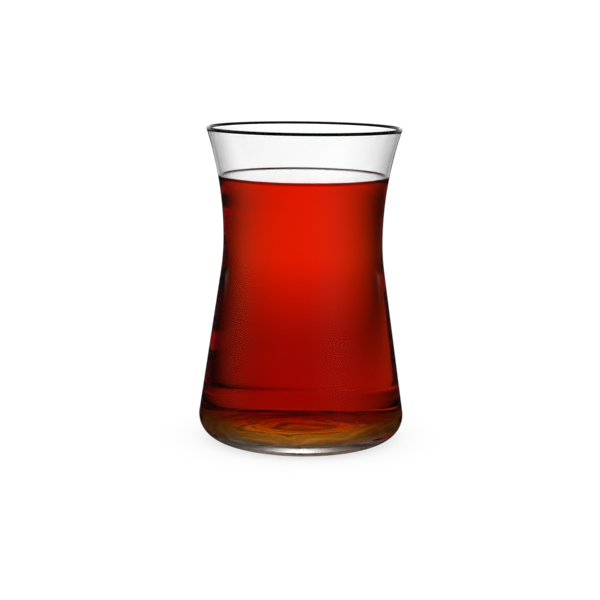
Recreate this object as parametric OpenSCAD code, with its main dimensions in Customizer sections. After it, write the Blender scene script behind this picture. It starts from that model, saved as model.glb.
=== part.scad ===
// Tea glass with a drawn-in waist, filled with black tea.
// The glass stands on the plane z = 0 with its axis on Z. All sizes are in millimetres.

/* [Glass] */
// Height from the table to the top of the rim
glass_h = 90; // [74:0.5:110]
// Outside diameter of the rim
rim_d = 55.8; // [50:0.2:68]
// Outside diameter of the waist
waist_d = 45.8; // [38:0.2:53]
// Height of the waist above the table
waist_z = 58.2; // [48:0.2:70]
// Widest outside diameter, at the heel
heel_d = 59.6; // [52:0.2:72]

/* [Bends] */
// Radius of the heel, where the flank turns under
heel_r = 6.5; // [4:0.1:9]
// Radius of the bend between the straight flank and the waist
waist_r = 66; // [40:1:80]
// Inside radius between the floor and the flank
bowl_r = 5.5; // [4:0.5:12]

/* [Thickness] */
// Thickness of the wall at the rim
rim_wall = 0.9; // [0.7:0.1:2]
// How far the lip's bead stands out from each face of the wall
lip_bead = 0.05; // [0:0.05:0.4]
// Thickness of the wall at the heel
heel_wall = 1.6; // [1.3:0.1:3]
// Thickness of the floor above the table
floor_t = 3.2; // [2.4:0.1:8]

/* [Foot] */
// Width of the ring that the glass stands on
foot_w = 3.4; // [2:0.2:6]
// Depth of the hollow inside that ring
punt_h = 0.9; // [0.4:0.1:2]

/* [Tea] */
// How far the tea stays below the top of the rim
tea_gap = 14; // [8:0.5:26]

/* [Hidden] */
$fn = 96;
// Straight steps in each bend of the outline
heel_steps = 12;
waist_steps = 14;
flare_steps = 22;
lip_steps = 16;
bowl_steps = 14;
punt_steps = 6;

function polar(radius, angle) = [radius * cos(angle), radius * sin(angle)];

function bend(centre, radius, from, to, steps) =
    [for (i = [0 : steps]) centre + polar(radius, from + (to - from) * i / steps)];

// Each bend below meets the next one on a shared tangent. An angle is the direction that the
// outside of the wall faces: 0 is level, and a positive angle faces up.

// Heel: convex, from the table up to the flank
heel_c = [heel_d / 2 - heel_r, heel_r];
// Lower waist: concave, with its centre outside the glass
waist_c = [waist_d / 2 + waist_r, waist_z];
// The flank is the straight line that touches both circles from opposite sides
heel_to_waist = waist_c - heel_c;
flank_lean = atan2(heel_to_waist.y, heel_to_waist.x) - acos((heel_r + waist_r) / norm(heel_to_waist));

// Lip: a round bead on the end of the wall, centred on the wall's thickness
half_wall = rim_wall / 2;
lip_r = half_wall + lip_bead;
lip_c = [rim_d / 2 - lip_r, glass_h - lip_r];
// Flare: concave, upright at the waist, and half a wall outside the bead's centre at the rim
waist_to_lip = lip_c - [waist_d / 2, waist_z];
flare_r = (waist_to_lip * waist_to_lip - half_wall * half_wall) / (2 * (waist_to_lip.x + half_wall));
flare_c = [waist_d / 2 + flare_r, waist_z];
rim_lean = asin(waist_to_lip.y / (flare_r + half_wall));
// The wall stops where it runs into the bead
bead_turn = acos(half_wall / lip_r);
flare_turn = rim_lean - asin(lip_r * sin(bead_turn) / flare_r);

// Heights between which the wall grows thinner
heel_top = (heel_c + polar(heel_r, flank_lean)).y;
wall_top = (flare_c - polar(flare_r, -flare_turn)).y;

function wall_at(z) = rim_wall + (heel_wall - rim_wall) * (wall_top - z) / (wall_top - heel_top);

// Stations up the wall above the flank: centre and radius of the bend, and the facing angle
stations = concat(
    [for (i = [0 : waist_steps]) [waist_c, waist_r, flank_lean * (1 - i / waist_steps)]],
    [for (i = [1 : flare_steps]) [flare_c, flare_r, -flare_turn * i / flare_steps]]);

outer_wall = [for (s = stations) s[0] - polar(s[1], s[2])];
inner_wall = [for (s = stations)
    let (z = (s[0] - polar(s[1], s[2])).y)
    s[0] - polar(s[1] + wall_at(z), s[2])];

// Inside of the flank, which runs from beside the heel's top to the first station
inner_heel = heel_c + polar(heel_r - heel_wall, flank_lean);
inner_rise = inner_wall[0] - inner_heel;
inner_lean = atan2(-inner_rise.x, inner_rise.y);
// Bowl: the round between the floor and the inside of the flank
bowl_z = floor_t + bowl_r;
bowl_x = inner_heel.x - (bowl_r + (bowl_z - inner_heel.y) * sin(inner_lean)) / cos(inner_lean);

// Inside of the glass, from the middle of the floor to the end of the wall
cavity = concat(
    [[0, floor_t]],
    bend([bowl_x, bowl_z], bowl_r, -90, inner_lean, bowl_steps),
    inner_wall);

// Bead, without its two ends, which are the ends of the wall
bead = bend(lip_c, lip_r, -rim_lean - bead_turn, 180 - rim_lean + bead_turn, lip_steps);
lip = [for (i = [1 : lip_steps - 1]) bead[i]];

// Hollow under the foot: a shallow cap inside the standing ring
ring_r = heel_c.x - foot_w;
punt_r = (ring_r * ring_r + punt_h * punt_h) / (2 * punt_h);
punt = bend([0, punt_h - punt_r], punt_r, 90, 90 - asin(ring_r / punt_r), punt_steps);

// Surface of the tea
tea_z = glass_h - tea_gap;
tea_r = lookup(tea_z, [for (p = inner_wall) [p.y, p.x]]);

// One piece of clear pressed glass
module glass() {
    color("lightcyan", 0.4)
        rotate_extrude()
            polygon(concat(
                punt,
                bend(heel_c, heel_r, -90, flank_lean, heel_steps),
                outer_wall,
                lip,
                [for (i = [len(cavity) - 2 : -1 : 0]) cavity[i]]));
}

// The drink, which fills the cavity up to its level
module tea() {
    color("firebrick")
        rotate_extrude()
            polygon(concat(
                [for (p = cavity) if (p.y < tea_z) p],
                [[tea_r, tea_z], [0, tea_z]]));
}

glass();
tea();
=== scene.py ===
import math

import bmesh
import bpy
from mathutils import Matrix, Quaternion, Vector


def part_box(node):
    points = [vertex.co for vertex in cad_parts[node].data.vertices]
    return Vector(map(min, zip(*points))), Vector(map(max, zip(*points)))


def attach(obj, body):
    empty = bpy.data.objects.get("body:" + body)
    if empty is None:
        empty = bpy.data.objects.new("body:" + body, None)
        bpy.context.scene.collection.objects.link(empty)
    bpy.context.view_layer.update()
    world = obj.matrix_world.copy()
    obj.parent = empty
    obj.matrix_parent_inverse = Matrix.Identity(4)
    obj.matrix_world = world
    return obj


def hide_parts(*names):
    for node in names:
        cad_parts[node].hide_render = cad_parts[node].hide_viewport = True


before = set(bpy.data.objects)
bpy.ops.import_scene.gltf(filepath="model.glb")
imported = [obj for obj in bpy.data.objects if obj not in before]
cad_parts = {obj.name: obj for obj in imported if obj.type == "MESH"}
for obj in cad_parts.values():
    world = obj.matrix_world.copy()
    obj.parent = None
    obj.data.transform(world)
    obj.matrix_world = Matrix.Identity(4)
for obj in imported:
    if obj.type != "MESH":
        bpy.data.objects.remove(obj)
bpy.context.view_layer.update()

# ---------------------------------------------------------------- Camera
# A long lens, a little above the rim, turned a hair clockwise as a hand-held camera is.

MM = 0.001
CAMERA_REACH = 430 * MM
CAMERA_HEIGHT = 116 * MM
AIM_HEIGHT = 40 * MM
AIM_SIDE = -0.65 * MM
CAMERA_ROLL = math.radians(0.7)
SENSOR_WIDTH = 36
FOCAL_LENGTH = 90.4
NEAREST_SEEN = 10 * MM

camera = bpy.data.objects.new("camera", bpy.data.cameras.new("camera"))
bpy.context.scene.collection.objects.link(camera)
bpy.context.scene.camera = camera
camera.data.sensor_width = SENSOR_WIDTH
camera.data.lens = FOCAL_LENGTH
camera.data.clip_start = NEAREST_SEEN
camera.location = (0, -CAMERA_REACH, CAMERA_HEIGHT)
line_of_sight = Vector((AIM_SIDE, 0, AIM_HEIGHT)) - camera.location
level_view = line_of_sight.to_track_quat("-Z", "Y")
camera.rotation_mode = "QUATERNION"
camera.rotation_quaternion = Quaternion(line_of_sight.normalized(), -CAMERA_ROLL) @ level_view

# ----------------------------------------------------------------- Glass
# One piece of clear soda-lime glass, pressed in a mould: a thin floor and a rounded heel on a
# narrow standing ring, a straight flank, a drawn-in waist and a flared wall. Its lip was melted
# round in a flame.

glass_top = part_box("glass")[1]
heel_x = glass_top.x
tea_low, tea_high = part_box("tea")
floor_z = tea_low.z

heel_r = 6.5 * MM
foot_w = 3.4 * MM
punt_h = 0.9 * MM
waist_x = 22.9 * MM
waist_z = 58.2 * MM
waist_r = 66 * MM
rim_x = 27.9 * MM
rim_wall = 0.9 * MM
heel_wall = 1.6 * MM
lip_bead = 0.05 * MM
bowl_r = 5.5 * MM

# Straight steps in each stretch of the outline
PUNT_STEPS = 40
HEEL_STEPS = 40
FLANK_STEPS = 24
WALL_STEPS = 50
LIP_STEPS = 24
BOWL_STEPS = 36
FLOOR_STEPS = 40


def polar(radius, angle):
    """The point at radius from the origin, in the direction of angle."""
    return Vector((radius * math.cos(angle), radius * math.sin(angle)))


def bend(centre, radius, start, end, steps):
    """Points round a bend of the outline, from one facing angle to another."""
    return [centre + polar(radius, start + (end - start) * i / steps) for i in range(steps + 1)]


# Heel, and the straight flank that touches both the heel's circle and the waist's
heel_c = Vector((heel_x - heel_r, heel_r))
waist_c = Vector((waist_x + waist_r, waist_z))
heel_to_waist = waist_c - heel_c
flank_lean = (math.atan2(heel_to_waist.y, heel_to_waist.x)
              - math.acos((heel_r + waist_r) / heel_to_waist.length))

# Lip, and the flare that runs up into it
half_wall = rim_wall / 2
lip_r = half_wall + lip_bead
lip_c = Vector((rim_x - lip_r, glass_top.z - lip_r))
waist_to_lip = lip_c - Vector((waist_x, waist_z))
flare_r = (waist_to_lip.length_squared - half_wall ** 2) / (2 * (waist_to_lip.x + half_wall))
flare_c = Vector((waist_x + flare_r, waist_z))
rim_lean = math.asin(waist_to_lip.y / (flare_r + half_wall))
bead_turn = math.acos(half_wall / lip_r)
flare_turn = rim_lean - math.asin(lip_r * math.sin(bead_turn) / flare_r)
heel_top = (heel_c + polar(heel_r, flank_lean)).y
wall_top = (flare_c - polar(flare_r, -flare_turn)).y


def wall_at(z):
    """Thickness of the wall, which grows thinner towards the rim."""
    return rim_wall + (heel_wall - rim_wall) * (wall_top - z) / (wall_top - heel_top)


def wall_line(bite=None):
    """The wall from the top of the flank to the lip: outside, or the inside sunk by bite."""
    line = []
    for centre, radius, first, last in ((waist_c, waist_r, flank_lean, 0),
                                        (flare_c, flare_r, 0, -flare_turn)):
        for i in range(WALL_STEPS + 1):
            turn = first + (last - first) * i / WALL_STEPS
            outside = centre - polar(radius, turn)
            inset = 0 if bite is None else wall_at(outside.y) - bite
            line.append(centre - polar(radius + inset, turn))
    return line[:WALL_STEPS] + line[WALL_STEPS + 1:]


def cavity_line(bite=0.0):
    """The inside from the middle of the floor to the lip, sunk into the glass by bite."""
    wall = wall_line(bite)
    inner_heel = heel_c + polar(heel_r - heel_wall + bite, flank_lean)
    rise = wall[0] - inner_heel
    lean = math.atan2(-rise.x, rise.y)
    centre_z = floor_z - bite + bowl_r
    centre_x = inner_heel.x - (bowl_r + (centre_z - inner_heel.y) * math.sin(lean)) / math.cos(lean)
    bowl = bend(Vector((centre_x, centre_z)), bowl_r, -math.pi / 2, lean, BOWL_STEPS)
    floor = [Vector((centre_x * i / FLOOR_STEPS, floor_z - bite)) for i in range(FLOOR_STEPS)]
    flank = [bowl[-1].lerp(wall[0], i / FLANK_STEPS) for i in range(1, FLANK_STEPS)]
    return floor + bowl + flank + wall


class Value:
    """A node's output that sums can be written on."""

    def __init__(self, socket):
        self.socket = socket
        self.tree = socket.id_data

    def math(self, operation, *others):
        """The result of a Math node on this value and the others."""
        inputs = dict(enumerate((self, *others)))
        return add(self.tree, "ShaderNodeMath", inputs, operation=operation)["Value"]

    def __add__(self, other):
        return self.math("ADD", other)

    def __sub__(self, other):
        return self.math("SUBTRACT", other)

    def __mul__(self, other):
        return self.math("MULTIPLY", other)

    def __truediv__(self, other):
        return self.math("DIVIDE", other)

    def __rsub__(self, other):
        return (self * -1) + other

    __radd__ = __add__
    __rmul__ = __mul__


class Node:
    """A node whose outputs are read by name or number."""

    def __init__(self, node):
        self.node = node

    def __getitem__(self, name):
        return Value(self.node.outputs[name])


def add(tree, kind, inputs=(), **settings):
    """A new node: its settings first, then the values or links of its sockets."""
    node = tree.nodes.new(kind)
    for name, value in settings.items():
        setattr(node, name, value)
    for key, value in dict(inputs).items():
        if isinstance(value, Value):
            tree.links.new(node.inputs[key], value.socket)
        else:
            node.inputs[key].default_value = value
    return Node(node)


SPOKES = 224
SEAM_GAP = 1e-6
# A guess: the floor inside is wavy, and so is the tea that lies on it
RIPPLE = 0.9 * MM
RIPPLE_SCALE = 90.0
RIPPLE_DETAIL = 3.0
RING_SCALE = 260.0
RIPPLE_SEED = 3.0
RIPPLE_REACH = 26 * MM


def lathe_tree():
    """Turns an outline in the XZ plane round Z. Its loose attribute says how much it may ripple,
    and its wet attribute, which the solid keeps, where tea and glass touch."""
    tree = bpy.data.node_groups.new("lathe", "GeometryNodeTree")
    tree.interface.new_socket("Outline", in_out="INPUT", socket_type="NodeSocketGeometry")
    tree.interface.new_socket("Spokes", in_out="INPUT", socket_type="NodeSocketInt")
    tree.interface.new_socket("Ripple", in_out="INPUT", socket_type="NodeSocketFloat")
    tree.interface.new_socket("Ripple Scale", in_out="INPUT", socket_type="NodeSocketFloat")
    tree.interface.new_socket("Ring Scale", in_out="INPUT", socket_type="NodeSocketFloat")
    tree.interface.new_socket("Seed", in_out="INPUT", socket_type="NodeSocketFloat")
    tree.interface.new_socket("Material", in_out="INPUT", socket_type="NodeSocketMaterial")
    tree.interface.new_socket("Solid", in_out="OUTPUT", socket_type="NodeSocketGeometry")
    given = add(tree, "NodeGroupInput")
    points = add(tree, "GeometryNodeAttributeDomainSize", {"Geometry": given["Outline"]})["Point Count"]
    grid = add(tree, "GeometryNodeMeshGrid",
               {"Vertices X": given["Spokes"] + 1, "Vertices Y": points})["Mesh"]
    index = add(tree, "GeometryNodeInputIndex")["Index"]
    spoke = (index / points).math("FLOOR")
    point = index - spoke * points
    here = add(tree, "GeometryNodeInputPosition")["Position"]
    place = add(tree, "GeometryNodeSampleIndex",
                {"Geometry": given["Outline"], "Value": here, "Index": point},
                data_type="FLOAT_VECTOR")["Value"]
    loose = add(tree, "GeometryNodeInputNamedAttribute", {"Name": "loose"}, data_type="FLOAT")[0]
    looseness = add(tree, "GeometryNodeSampleIndex",
                    {"Geometry": given["Outline"], "Value": loose, "Index": point},
                    data_type="FLOAT")["Value"]
    wet = add(tree, "GeometryNodeInputNamedAttribute", {"Name": "wet"}, data_type="FLOAT")[0]
    wetness = add(tree, "GeometryNodeSampleIndex",
                  {"Geometry": given["Outline"], "Value": wet, "Index": point},
                  data_type="FLOAT")["Value"]
    grid = add(tree, "GeometryNodeStoreNamedAttribute",
               {"Geometry": grid, "Name": "wet", "Value": wetness},
               data_type="FLOAT", domain="POINT")["Geometry"]
    outline = add(tree, "ShaderNodeSeparateXYZ", {"Vector": place})
    turn = spoke / given["Spokes"] * math.tau
    x = outline["X"] * turn.math("COSINE")
    y = outline["X"] * turn.math("SINE")
    flat = add(tree, "ShaderNodeCombineXYZ", {"X": x, "Y": y})["Vector"]
    phase = outline["X"] * given["Ring Scale"] + given["Seed"]
    noise = add(tree, "ShaderNodeTexNoise",
                {"Vector": flat, "W": phase, "Scale": given["Ripple Scale"], "Detail": RIPPLE_DETAIL},
                noise_dimensions="4D")[0]
    z = outline["Z"] + (noise - 0.5) * looseness * given["Ripple"]
    spun = add(tree, "ShaderNodeCombineXYZ", {"X": x, "Y": y, "Z": z})["Vector"]
    mesh = add(tree, "GeometryNodeSetPosition", {"Geometry": grid, "Position": spun})["Geometry"]
    mesh = add(tree, "GeometryNodeMergeByDistance", {"Geometry": mesh, "Distance": SEAM_GAP})["Geometry"]
    mesh = add(tree, "GeometryNodeSetShadeSmooth", {"Geometry": mesh})["Geometry"]
    mesh = add(tree, "GeometryNodeRealizeInstances", {"Geometry": mesh})["Geometry"]
    mesh = add(tree, "GeometryNodeSetMaterial",
               {"Geometry": mesh, "Material": given["Material"]})["Geometry"]
    add(tree, "NodeGroupOutput", {"Solid": mesh})
    return tree


LATHE = lathe_tree()


def turned(name, outline, loose, wet, material):
    """A closed solid turned from points of its outline, the middle of its underside first."""
    mesh = bpy.data.meshes.new(name + "_outline")
    edges = [(i, i + 1) for i in range(len(outline) - 1)]
    mesh.from_pydata([(p.x, 0, p.y) for p in outline], edges, [])
    mesh.attributes.new("loose", "FLOAT", "POINT").data.foreach_set("value", loose)
    mesh.attributes.new("wet", "FLOAT", "POINT").data.foreach_set("value", wet)
    blank = bpy.data.objects.new(name + "_blank", mesh)
    bpy.context.scene.collection.objects.link(blank)
    modifier = blank.modifiers.new("lathe", "NODES")
    modifier.node_group = LATHE
    values = {"Spokes": SPOKES, "Ripple": RIPPLE, "Ripple Scale": RIPPLE_SCALE,
              "Ring Scale": RING_SCALE, "Seed": RIPPLE_SEED, "Material": material}
    for item in LATHE.interface.items_tree:
        if item.name in values:
            modifier[item.identifier] = values[item.name]
    graph = bpy.context.evaluated_depsgraph_get()
    solid = bpy.data.meshes.new_from_object(blank.evaluated_get(graph))
    bpy.data.objects.remove(blank)
    piece = bpy.data.objects.new(name, solid)
    bpy.context.scene.collection.objects.link(piece)
    return piece


def looseness(point):
    """1 in the middle of the floor, falling to 0 towards the corner, and 0 above the corner."""
    if point.y > floor_z + bowl_r:
        return 0.0
    return max(0.0, 1 - (point.x / RIPPLE_REACH) ** 4)


ring_x = heel_c.x - foot_w
punt_r = (ring_x ** 2 + punt_h ** 2) / (2 * punt_h)
punt = bend(Vector((0, punt_h - punt_r)), punt_r, math.pi / 2,
            math.pi / 2 - math.asin(ring_x / punt_r), PUNT_STEPS)
heel = bend(heel_c, heel_r, -math.pi / 2, flank_lean, HEEL_STEPS)
outside = wall_line()
flank = [heel[-1].lerp(outside[0], i / FLANK_STEPS) for i in range(1, FLANK_STEPS)]
bead = bend(lip_c, lip_r, -rim_lean - bead_turn, math.pi - rim_lean + bead_turn, LIP_STEPS)[1:-1]
inside = cavity_line()
glass_outline = punt + heel + flank + outside + bead + inside[::-1]
glass_loose = [0.0] * (len(glass_outline) - len(inside)) + [looseness(p) for p in inside[::-1]]

# The tea wets the inside up to where it climbs the wall
TEA_CLIMB = 0.35 * MM
tea_level = tea_high.z
glass_wet = ([0.0] * (len(glass_outline) - len(inside))
             + [float(p.y < tea_level + TEA_CLIMB) for p in inside[::-1]])

# Light bends less from glass into tea than from glass into air
GLASS_IOR = 1.51
TEA_IOR = 1.333
# A thick edge of this glass looks green
GLASS_TINT = (0.55, 0.9, 0.7, 1)
GLASS_TINT_DENSITY = 5.0
# The wall is not quite even, which bends a little what is seen through it
WAVE_SCALE = 60.0
WAVE_BUMP = 0.05
WAVE_DEPTH = 0.5 * MM
# Painted shade: a dark tone on the top of the lip stands in for the dark surroundings that a round lip
# picks up
LIP_REFLECTION_TONE = 0.005
LIP_CLEAR_BELOW = 0.95 * MM
LIP_DARK_ABOVE = 0.75 * MM
# A guess, as the underside is out of sight: it is matt, with wavy rings of a darker tone, painted shade
# for the dark streaks that bent light shows in the base
UNDERSIDE_TOP = 1.3 * MM
UNDERSIDE_MATT = 0.75
SHADE_RINGS_PER_METRE = 330.0
SHADE_RING_DETAIL = 2.0
SHADE_RING_TONE = 0.1
SHADE_RING_DARK_BELOW = 0.38
SHADE_RING_CLEAR_ABOVE = 0.62
SWIRL_SCALE = 45.0
SWIRL_PUSH = 8.0


def clear(nodes, ior, **more):
    """A clear surface that light goes through."""
    inputs = {"Base Color": (1, 1, 1, 1), "Roughness": 0.0, "IOR": ior, "Transmission Weight": 1.0}
    return add(nodes, "ShaderNodeBsdfPrincipled", {**inputs, **more})["BSDF"]


def grey(nodes, tone):
    """A grey as light as tone, for a colour socket."""
    return add(nodes, "ShaderNodeCombineXYZ", {"X": tone, "Y": tone, "Z": tone})["Vector"]


def off_axis(part):
    """How far a point is from the glass's axis."""
    return (part["X"] * part["X"] + part["Y"] * part["Y"]).math("SQRT")


def soaked(nodes, dry, wet, body):
    """One material whose surface is wet where tea and glass touch, and dry elsewhere."""
    wetness = add(nodes, "ShaderNodeAttribute", attribute_name="wet")["Fac"]
    skin = add(nodes, "ShaderNodeMixShader", {0: wetness, 1: dry, 2: wet})["Shader"]
    add(nodes, "ShaderNodeOutputMaterial", {"Surface": skin, "Volume": body})


glass_stuff = bpy.data.materials.new("clear_glass")
glass_stuff.use_nodes = True
nodes = glass_stuff.node_tree
nodes.nodes.clear()
where = add(nodes, "ShaderNodeTexCoord")["Object"]
unevenness = add(nodes, "ShaderNodeTexNoise",
                 {"Vector": where, "Scale": WAVE_SCALE, "Detail": 1.0})[0]
waves = add(nodes, "ShaderNodeBump",
            {"Height": unevenness, "Strength": WAVE_BUMP, "Distance": WAVE_DEPTH})["Normal"]
part = add(nodes, "ShaderNodeSeparateXYZ", {"Vector": where})
underside = part["Z"].math("LESS_THAN", UNDERSIDE_TOP) * off_axis(part).math("LESS_THAN", heel_c.x)
# The lip's painted shade, nearly black on its top
lip_reflection = add(nodes, "ShaderNodeMapRange",
               {0: part["Z"], 1: glass_top.z - LIP_CLEAR_BELOW, 2: glass_top.z - LIP_DARK_ABOVE,
                3: 1.0, 4: LIP_REFLECTION_TONE})["Result"]
# Wavy rings of painted shade on the underside
swirl = add(nodes, "ShaderNodeTexNoise",
            {"Vector": where, "Scale": SWIRL_SCALE, "Detail": SHADE_RING_DETAIL})[0]
rings = add(nodes, "ShaderNodeTexNoise",
            {"W": off_axis(part) * SHADE_RINGS_PER_METRE + swirl * SWIRL_PUSH,
             "Scale": 1.0, "Detail": SHADE_RING_DETAIL},
            noise_dimensions="1D")[0]
shade_rings = add(nodes, "ShaderNodeMapRange",
            {0: rings, 1: SHADE_RING_DARK_BELOW, 2: SHADE_RING_CLEAR_ABOVE, 3: SHADE_RING_TONE, 4: 1.0})["Result"]
# The glass's colour holds painted shade: the lip's dark top and the underside's rings
tone = lip_reflection * (1 - underside * (1 - shade_rings))
dry_glass = clear(nodes, GLASS_IOR, **{"Base Color": grey(nodes, tone),
                                       "Roughness": underside * UNDERSIDE_MATT,
                                       "Normal": waves})
wet_glass = clear(nodes, GLASS_IOR / TEA_IOR, Normal=waves)
tint = add(nodes, "ShaderNodeVolumeAbsorption",
           {"Color": GLASS_TINT, "Density": GLASS_TINT_DENSITY})["Volume"]
soaked(nodes, dry_glass, wet_glass, tint)

glass = turned("glass_body", glass_outline, glass_loose, glass_wet, glass_stuff)
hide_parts("glass")
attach(glass, "root")

# ------------------------------------------------------------------- Tea
# Black tea, clear and red-brown, poured to a finger's width below the rim. It clings to the glass
# and climbs it a little all round, as water does.

# The tea is sunk into the wall and the floor by this much, so that no air shows between them
TEA_BITE = 0.15 * MM
CLIMB_REACH = 1.0 * MM
CLIMB_WIDTH = 6.0 * MM
CLIMB_STEPS = 40
SURFACE_STEPS = 30

tea_side = [p for p in cavity_line(TEA_BITE) if p.y < tea_level + TEA_CLIMB]
edge_x = tea_side[-1].x
inward = [CLIMB_WIDTH * (i / CLIMB_STEPS) ** 2 for i in range(1, CLIMB_STEPS + 1)]
climb = [Vector((edge_x - d, tea_level + TEA_CLIMB * math.exp(-d / CLIMB_REACH))) for d in inward]
surface = [Vector((climb[-1].x * (1 - i / SURFACE_STEPS), climb[-1].y))
           for i in range(1, SURFACE_STEPS + 1)]
tea_outline = tea_side + climb + surface
tea_loose = [looseness(p) for p in tea_outline]
tea_wet = [1.0] * len(tea_side) + [0.0] * (len(tea_outline) - len(tea_side))

# Each metre absorbs (1 - colour) x density, so red passes best, then green, and blue hardly
TEA_COLOUR = (0.9833, 0.74, 0.15, 1)
TEA_DENSITY = 400.0
# Inside the glass the tea's own side bends light no further
SUNK_IOR = 1.003
# Painted shade: a dark tone on the top of the tea's side stands in for the dark line where it meets the
# glass
EDGE_SHADE_TONE = 0.12
EDGE_CLEAR_BELOW = 0.75 * MM
EDGE_DARK_ABOVE = 0.35 * MM

tea_stuff = bpy.data.materials.new("black_tea")
tea_stuff.use_nodes = True
nodes = tea_stuff.node_tree
nodes.nodes.clear()
where = add(nodes, "ShaderNodeTexCoord")["Object"]
height = add(nodes, "ShaderNodeSeparateXYZ", {"Vector": where})["Z"]
# Painted shade along the top of the tea's side, where it meets the glass
edge_shade = add(nodes, "ShaderNodeMapRange",
                {0: height, 1: tea_level - EDGE_CLEAR_BELOW, 2: tea_level - EDGE_DARK_ABOVE,
                 3: 1.0, 4: EDGE_SHADE_TONE})["Result"]
dry_tea = clear(nodes, TEA_IOR)
wet_tea = clear(nodes, SUNK_IOR, **{"Base Color": grey(nodes, edge_shade)})
brew = add(nodes, "ShaderNodeVolumeAbsorption",
           {"Color": TEA_COLOUR, "Density": TEA_DENSITY})["Volume"]
soaked(nodes, dry_tea, wet_tea, brew)

tea = turned("tea_fill", tea_outline, tea_loose, tea_wet, tea_stuff)
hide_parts("tea")
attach(tea, "root")

# ---------------------------------------------------------------- Studio
# White paper under a white sky. The glass and the tea also see lights of their own, fixed round
# the table: white cards with darkness between, a sky that glints, a grey gel round the foot, and
# under the foot a small light table and a strip of light.

SKY_LIGHT = 1.05
PAPER_HALF = 3.0
PAPER_DROP = 0.1 * MM
PAPER_GREY = 0.3
PAPER_LIGHT = 0.75

world = bpy.data.worlds.new("studio")
bpy.context.scene.world = world
world.use_nodes = True
background = world.node_tree.nodes["Background"].inputs
background["Color"].default_value = (1, 1, 1, 1)
background["Strength"].default_value = SKY_LIGHT

paper_mesh = bpy.data.meshes.new("paper")
corners = [(-PAPER_HALF, -PAPER_HALF, 0), (PAPER_HALF, -PAPER_HALF, 0),
           (PAPER_HALF, PAPER_HALF, 0), (-PAPER_HALF, PAPER_HALF, 0)]
paper_mesh.from_pydata(corners, [], [(0, 1, 2, 3)])
paper = bpy.data.objects.new("paper", paper_mesh)
paper.location.z = -PAPER_DROP
bpy.context.scene.collection.objects.link(paper)
paper.visible_transmission = False
paper.visible_glossy = False
paper_stuff = bpy.data.materials.new("paper")
paper_stuff.use_nodes = True
finish = paper_stuff.node_tree.nodes["Principled BSDF"].inputs
finish["Base Color"].default_value = (PAPER_GREY, PAPER_GREY, PAPER_GREY, 1)
finish["Roughness"].default_value = 1.0
finish["Specular IOR Level"].default_value = 0.0
finish["Emission Color"].default_value = (1, 1, 1, 1)
finish["Emission Strength"].default_value = PAPER_LIGHT
paper_mesh.materials.append(paper_stuff)


def glow(name, mesh, surface, seen_by):
    """A lamp made of a mesh, whose surface only one kind of ray sees."""
    lamp = bpy.data.objects.new(name, mesh)
    bpy.context.scene.collection.objects.link(lamp)
    for kind in ("camera", "diffuse", "glossy", "transmission", "volume_scatter", "shadow"):
        setattr(lamp, "visible_" + kind, kind == seen_by)
    stuff = bpy.data.materials.new(name)
    stuff.use_nodes = True
    nodes = stuff.node_tree
    nodes.nodes.clear()
    where = add(nodes, "ShaderNodeTexCoord")["Object"]
    side = add(nodes, "ShaderNodeSeparateXYZ", {"Vector": where})
    add(nodes, "ShaderNodeOutputMaterial", {"Surface": surface(nodes, side)})
    mesh.materials.append(stuff)


def shine(nodes, strength):
    """White light of this strength."""
    return add(nodes, "ShaderNodeEmission", {"Color": grey(nodes, strength)})["Emission"]


def fade(value, start, end, low, high):
    """low at start, easing to high at end."""
    return add(value.tree, "ShaderNodeMapRange", {0: value, 1: start, 2: end, 3: low, 4: high},
               interpolation_type="SMOOTHSTEP")["Result"]


TO_DEGREES = 180 / math.pi
DOME_R = 1.0


def bearing_of(side):
    """Degrees round the axis, from 0 straight behind the glass."""
    return side["X"].math("ARCTAN2", side["Y"]) * TO_DEGREES


def rise_of(side):
    """Degrees above the table, on the dome."""
    return (side["Z"] / DOME_R).math("ARCSINE") * TO_DEGREES


def bell(off):
    """1 at 0, falling on both sides."""
    return (off * off * -1).math("EXPONENT")


def dome(name):
    """A sphere round the table."""
    mesh = bpy.data.meshes.new(name)
    shell = bmesh.new()
    bmesh.ops.create_uvsphere(shell, u_segments=64, v_segments=32, radius=DOME_R)
    shell.to_mesh(mesh)
    shell.free()
    return mesh


# Each card's bearing, half width, lowest and highest edge, in degrees, and its strength
CARDS = ((0, 27, -22, 12, 1.1),
         (-90, 24, -22, 12, 1.1),
         (-45, 34, -48, -20, 1.1),
         (-45, 30, 20, 55, 0.4),
         (135, 27, -32, 12, 1.1))
CARD_EDGE = 3.0
# A card narrows as it rises, and ends this far off its middle
CARD_NARROWS = (-12.0, 4.0)
WIDEST = 1.1
NARROWEST = 0.9
CARD_ENDS = (41.0, 58.0)
# The cards get brighter upwards, in two steps
FIRST_STEP = (5.2, 6.4)
FIRST_LIFT = 1.25
SECOND_STEP = (7.2, 8.5)
SECOND_LIFT = 1.45
DARKNESS = 0.01


def cards(nodes, side):
    """All the cards, with next to no light between them."""
    bearing = bearing_of(side)
    rise = rise_of(side)
    total = DARKNESS
    for centre, half_width, low, high, strength in CARDS:
        off = (bearing - centre).math("WRAP", 180.0, -180.0).math("ABSOLUTE")
        width = fade(rise, *CARD_NARROWS, half_width * WIDEST, half_width * NARROWEST)
        across = bell(off / width) * fade(off, *CARD_ENDS, 1.0, 0.0)
        top = fade(rise, high - CARD_EDGE, high + CARD_EDGE, 1.0, 0.0)
        bottom = fade(rise, low - CARD_EDGE, low + CARD_EDGE, 0.0, 1.0)
        total = across * top * bottom * strength + total
    lift = fade(rise, *FIRST_STEP, 1.0, FIRST_LIFT) * fade(rise, *SECOND_STEP, 1.0, SECOND_LIFT)
    return shine(nodes, total * lift)


# Degrees over which the sky's patch fades at its sides, top and foot
SKY_SIDES = (30.0, 60.0)
SKY_TOP = (10.0, 25.0)
SKY_FOOT = (-1.0, 1.0)


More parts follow.
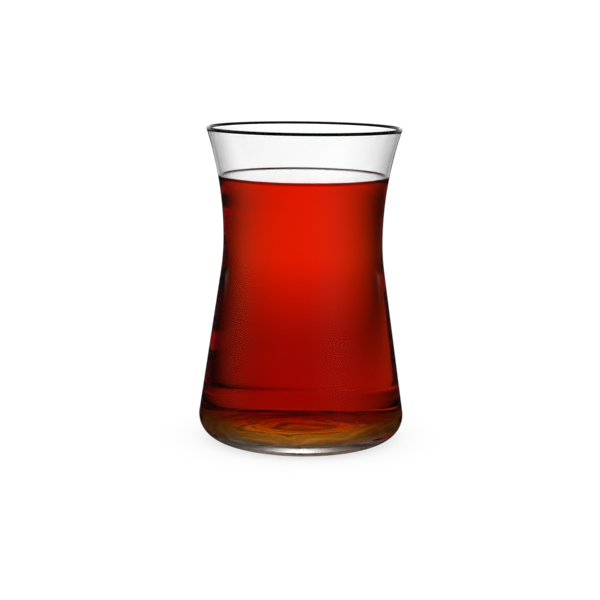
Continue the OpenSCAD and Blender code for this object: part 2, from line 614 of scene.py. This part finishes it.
def sky(nodes, side):
    """A pale patch low behind the glass, which glints on it."""
    rise = rise_of(side)
    across = fade(bearing_of(side).math("ABSOLUTE"), *SKY_SIDES, 1.0, 0.0)
    upright = fade(rise, *SKY_TOP, 1.0, 0.0) * fade(rise, *SKY_FOOT, 0.0, 1.0)
    return shine(nodes, across * upright + DARKNESS)


GEL_R = 100 * MM
GEL_HEIGHT = 160 * MM
GEL_MIDDLE = -40 * MM
GEL_GREY = 0.45
GEL_GREY_BELOW = -5 * MM
GEL_CLEAR_ABOVE = 35 * MM

gel_mesh = bpy.data.meshes.new("gel")
tube = bmesh.new()
bmesh.ops.create_cone(tube, segments=96, radius1=GEL_R, radius2=GEL_R, depth=GEL_HEIGHT)
bmesh.ops.translate(tube, vec=(0, 0, GEL_MIDDLE), verts=tube.verts)
tube.to_mesh(gel_mesh)
tube.free()


def gel(nodes, side):
    """Grey below, clear above."""
    share = fade(side["Z"], GEL_GREY_BELOW, GEL_CLEAR_ABOVE, 0.0, 1.0)
    dim = add(nodes, "ShaderNodeBsdfTransparent", {"Color": (GEL_GREY, GEL_GREY, GEL_GREY, 1)})["BSDF"]
    open_air = add(nodes, "ShaderNodeBsdfTransparent", {"Color": (1, 1, 1, 1)})["BSDF"]
    return add(nodes, "ShaderNodeMixShader", {0: share, 1: dim, 2: open_air})["Shader"]


DISC_DROP = 0.05 * MM
# The light table: dim in the middle, brightest round it and nearly dark at the rim
LIGHT_TABLE_R = 26 * MM
MIDDLE_ENDS = (1 * MM, 6 * MM)
MIDDLE_LIGHT = 0.7
FULL_LIGHT = 1.2
RIM_STARTS = (9 * MM, 20 * MM)
RIM_SHARE = 0.12
# The strip: its inner and outer edge, and the degrees that it reaches to each side
STRIP_R = 32 * MM
STRIP_INNER = (27.3 * MM, 28.0 * MM)
STRIP_OUTER = (30.0 * MM, 31.0 * MM)
STRIP_REACH = 15.0
STRIP_LIGHT = 15.0


def disc(name, radius):
    """A round plate just under the foot."""
    mesh = bpy.data.meshes.new(name)
    plate = bmesh.new()
    bmesh.ops.create_circle(plate, cap_ends=True, segments=64, radius=radius)
    bmesh.ops.translate(plate, vec=(0, 0, -DISC_DROP), verts=plate.verts)
    plate.to_mesh(mesh)
    plate.free()
    return mesh


def light_table(nodes, side):
    """Brightest in a ring round its middle."""
    reach = off_axis(side)
    middle = fade(reach, *MIDDLE_ENDS, MIDDLE_LIGHT, FULL_LIGHT)
    rim = fade(reach, *RIM_STARTS, 1.0, RIM_SHARE)
    return shine(nodes, middle * rim)


def strip(nodes, side):
    """A thin bright arc under the front of the heel."""
    reach = off_axis(side)
    off = side["X"].math("ARCTAN2", side["Y"] * -1) * TO_DEGREES
    arc = fade(reach, *STRIP_INNER, 0.0, 1.0) * fade(reach, *STRIP_OUTER, 1.0, 0.0)
    return shine(nodes, arc * bell(off / STRIP_REACH) * STRIP_LIGHT + DARKNESS)


glow("cards", dome("cards"), cards, "transmission")
glow("sky", dome("sky"), sky, "glossy")
glow("gel", gel_mesh, gel, "transmission")
glow("light_table", disc("light_table", LIGHT_TABLE_R), light_table, "transmission")
glow("heel_light", disc("heel_light", STRIP_R), strip, "glossy")

# Light crosses many faces of glass and tea before it gets out
MOST_BOUNCES = 32
MOST_REFLECTIONS = 16
scene = bpy.context.scene
scene.view_settings.view_transform = "Standard"
scene.cycles.max_bounces = MOST_BOUNCES
scene.cycles.transmission_bounces = MOST_BOUNCES
scene.cycles.glossy_bounces = MOST_REFLECTIONS
